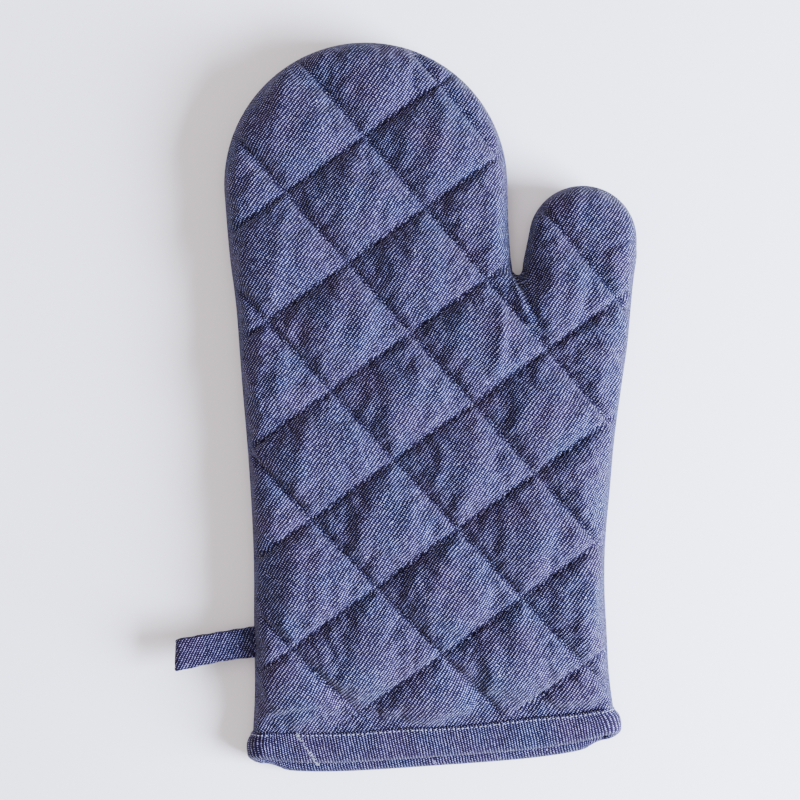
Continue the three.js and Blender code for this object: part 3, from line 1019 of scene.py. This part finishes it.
place = np.stack([np.broadcast_to(travel, (len(columns), rings)), np.array(across)], axis=-1)
grid = np.arange(len(columns) * rings).reshape(len(columns), rings)
ahead = np.roll(grid, -1, axis=1)
quads = np.stack([grid[:-1], grid[1:], ahead[1:], ahead[:-1]], axis=-1).reshape(-1, 4)


def turned_cloth(place, degrees):
    """Places on a strip as places on the cloth it was cut from, at an angle to the warp."""
    turn = math.radians(degrees)
    return place @ np.array([[math.cos(turn), math.sin(turn)], [-math.sin(turn), math.cos(turn)]])


biased = turned_cloth(place, BIAS)
# The same twill as the cover, with the same dark ground, but its pale flecks are painted darker:
# painted shade, a shaded copy of the cover's twill. The binding, the loop and the loop's ends wear
# it.
shaded_binding_twill = indigo_twill("bias_cut_indigo_twill_with_painted_shade", "#0B0B25", "#150B25", "#8A94CA",
                             "#938CBE")
binding = plain_object("cuff_binding_strip", strip.reshape(-1, 3) * MM, quads, shaded_binding_twill)
weave = binding.data.uv_layers.new(name="weave")
corner_place = biased.reshape(-1, 2)[quads]
# In the last quad of each row the strip runs on, where the mesh goes back to its first ring.
last = (quads % rings == 0) & (np.arange(4) >= 2)
corner_place[last] += turned_cloth(np.array([travel[-1], 0]), BIAS) + RING_PITCH
weave.data.foreach_set("uv", (corner_place.reshape(-1, 2) / MAP_UNIT).ravel())
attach(binding, "palm")
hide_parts("cuff_binding")


# --- The cuff topstitching ---
# Pale thread, one row right through both sides of the binding just below its top edge. At the
# join the raw end of the strip has frayed into short pale hairs.

TOP_STITCH = 1.1
TOP_PITCH = 2.0
TOP_THREAD = 0.22
HAIR = 0.09
HAIRS = 46
pale_thread = sewing_thread("twisted_pale_thread", "#A3A5C0", 0.6)
row = np.column_stack([line[:, 0] + out[:, 0] * BINDING_WALL, top - STITCH_INSET,
                       cuff_level + line[:, 1] + out[:, 1] * BINDING_WALL])
end = ease(END_START, END_FULL, np.abs(row[:, 0])) * np.sign(row[:, 0])
row[:, 0] -= end * END_ROUNDING * 0.8
row = np.vstack([row, row[:1]])
starts, ends = stitch_ends(row, TOP_STITCH, TOP_PITCH)
from_wall = starts - np.column_stack([np.clip(starts[:, 0], -75, 75), starts[:, 1],
                                      np.full(len(starts), cuff_level)])
topstitch = stitches("cuff_topstitch_thread", starts, ends, unit(from_wall), TOP_THREAD,
                     pale_thread)
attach(topstitch, "palm")
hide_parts("cuff_topstitch")

rng = np.random.default_rng(21)
slant = np.linspace(0, 1, HAIRS)[:, None]
roots = np.array(JOIN_TOP) + slant * (np.array(JOIN_FOOT) - np.array(JOIN_TOP))
roots += rng.normal(0, 0.15, roots.shape)
roots = np.column_stack([roots, np.full(HAIRS, cuff_level + BINDING_CENTRE + BINDING_WALL + 0.5)])
way = np.radians(rng.uniform(-35, 45, HAIRS))
hair = np.column_stack([np.cos(way), np.sin(way), rng.uniform(-0.25, 0.1, HAIRS)])
hairs = stitches("binding_join_fray", roots, roots + hair * rng.uniform(0.7, 2.2, (HAIRS, 1)),
                 np.tile([0, 0, 1.0], (HAIRS, 1)), HAIR, pale_thread)
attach(hairs, "palm")


# --- The hanging loop ---
# A strip of the twill folded into a narrow tape and bent over into a loop. Both ends go into the
# side seam above the cuff, where a bar tack holds them, and the loop droops a little.

LOOP_ROOT_X = fold_at["loop_swing"][0]
LOOP_Y = fold_at["loop_swing"][1] + 0.9
LOOP_TIP_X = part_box("hanging_loop")[0][0] / MM + 0.2
LOOP_WIDTH = 13.4
LOOP_TAPE = 1.7
LOOP_GAP = 2.6
LOOP_DROOP = 3.2
TAPE_PITCH = 0.9
TAPE_BIAS = -12
TUCKED_IN = 4.5


def loop_path(start_x, pitch):
    """Along the middle of the tape: out over the top, round the tip and back underneath."""
    tip = LOOP_GAP / 2 + LOOP_TAPE / 2
    turn = np.radians(np.linspace(90, 270, 14))
    ring = np.column_stack([LOOP_TIP_X + LOOP_TAPE / 2 + tip * (1 + np.cos(turn)),
                            tip * np.sin(turn)])
    share = np.linspace(0, 1, 14)[:-1]
    spread = LOOP_TAPE / 2 + 0.05 + (tip - LOOP_TAPE / 2 - 0.05) * ease(0, 0.8, share)
    top_x = start_x + (ring[0][0] - start_x) * share
    upper = np.column_stack([top_x, spread])
    lower = np.column_stack([top_x, -spread])[::-1]
    return evenly(np.vstack([upper, ring, lower]), pitch)


path = loop_path(LOOP_ROOT_X + TUCKED_IN, TAPE_PITCH)
tangent = unit(np.gradient(path, axis=0))
path_out = np.column_stack([-tangent[:, 1], tangent[:, 0]])
# Round the tape, across it and up: a rounded side, the flat underneath, and both again turned.
half_width = LOOP_WIDTH / 2 - LOOP_TAPE / 2
outline = [(half_width + LOOP_TAPE / 2 * math.cos(t), LOOP_TAPE / 2 * math.sin(t))
           for t in np.radians(np.linspace(90, -90, 7))]
middle = [(y, -LOOP_TAPE / 2) for y in np.linspace(half_width, -half_width, 12)[1:-1]]
outline = outline + middle + [(-y, -z) for y, z in outline] + [(-y, -z) for y, z in middle]
outline = np.array(outline)
walked = np.arange(len(path)) * TAPE_PITCH
away = (LOOP_ROOT_X - path[:, 0]) / (LOOP_ROOT_X - LOOP_TIP_X)
swing = np.clip(away, 0, 1)
rows = []
for across_y, lift in outline:
    edge = np.abs(across_y) / (LOOP_WIDTH / 2)
    dent = 0.25 * np.exp(-((np.abs(across_y) - LOOP_WIDTH / 2 + 1.8) / 0.7) ** 2)
    thick = lift * (1 + 0.12 * np.sin(walked / 2.3 + across_y / 2)) - np.sign(lift) * dent
    wander = across_y + 0.12 * np.sin(walked / 1.25) * edge ** 4
    wander += 0.5 * (across_y < 0) * np.sin(4.5 * away) * edge ** 2
    rows.append(np.column_stack([path[:, 0] + path_out[:, 0] * thick + 0.1 * across_y * swing,
                                 LOOP_Y + wander - LOOP_DROOP * swing,
                                 SEAM_HEIGHT + path[:, 1] + path_out[:, 1] * thick]))
tape = np.array(rows)
round_tape = np.concatenate([[0], np.cumsum(np.linalg.norm(np.diff(outline, axis=0), axis=1))])
grid = np.arange(tape.shape[0] * tape.shape[1]).reshape(tape.shape[:2])
ahead = np.roll(grid, -1, axis=0)
quads = np.stack([grid[:, :-1], ahead[:, :-1], ahead[:, 1:], grid[:, 1:]], axis=-1).reshape(-1, 4)
caps = [grid[::-1, 0].tolist(), grid[:, -1].tolist()]
loop_tape = bpy.data.meshes.new("hanging_loop_tape")
loop_tape.from_pydata((tape.reshape(-1, 3) * MM).tolist(), [], quads.tolist() + caps)
hanging_loop = bpy.data.objects.new("hanging_loop_tape", loop_tape)
bpy.context.collection.objects.link(hanging_loop)
loop_tape.polygons.foreach_set("use_smooth", [True] * len(quads) + [False] * 2)
weave = loop_tape.uv_layers.new(name="weave")
tape_place = turned_cloth(np.stack([np.broadcast_to(walked, grid.shape),
                                    np.broadcast_to(round_tape[:, None], grid.shape)], axis=-1),
                          TAPE_BIAS)
corners = np.concatenate([quads.ravel(), caps[0], caps[1]])
weave.data.foreach_set("uv", (tape_place.reshape(-1, 2)[corners] / MAP_UNIT).ravel())
# The loop wears the twill with painted shade: its pale flecks are painted darker than the cover's.
loop_tape.materials.append(shaded_binding_twill)
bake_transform(hanging_loop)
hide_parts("hanging_loop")

# The two ends of the tape lie between the panels, inside the seam.
ENDS_LENGTH = 3.1
ENDS_HALF = (6.6, 1.6)
ends_x = LOOP_ROOT_X + TUCKED_IN + 0.1 + np.linspace(0, ENDS_LENGTH, 5)
root_points = [(x, LOOP_Y + y * ENDS_HALF[0], SEAM_HEIGHT + z * ENDS_HALF[1]) for x in ends_x
               for y, z in ((-1, -1), (1, -1), (1, 1), (-1, 1))]
root_faces = [(4 * r + k, 4 * r + (k + 1) % 4, 4 * r + 4 + (k + 1) % 4, 4 * r + 4 + k)
              for r in range(4) for k in range(4)] + [(3, 2, 1, 0), (16, 17, 18, 19)]
loop_root = plain_object("hanging_loop_ends", np.array(root_points) * MM, root_faces)
soft_edge = loop_root.modifiers.new("soft_edge", "BEVEL")
soft_edge.width = 0.4 * MM
soft_edge.segments = 2
loop_root.data.materials.append(shaded_binding_twill)
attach(loop_root, "palm")
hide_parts("hanging_loop_root")

# The bar tack: a close zigzag across the tape, just at the seam.
TACK_THREAD = 0.26
TACK_REACH = 0.9
tack_y = np.arange(-5.6, 5.7, 0.8)
tack_x = LOOP_ROOT_X + 1.0 + np.where(np.arange(len(tack_y)) % 2, TACK_REACH, -TACK_REACH)
tack_z = np.full(len(tack_y), SEAM_HEIGHT + LOOP_TAPE + 0.1)
tack = np.column_stack([tack_x, LOOP_Y + tack_y, tack_z])
bar_tack = stitches("loop_bar_tack_thread", tack[:-1], tack[1:],
                    np.tile([0, 0, 1.0], (len(tack) - 1, 1)), TACK_THREAD, navy_thread)
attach(bar_tack, "palm")
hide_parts("loop_bar_tack")
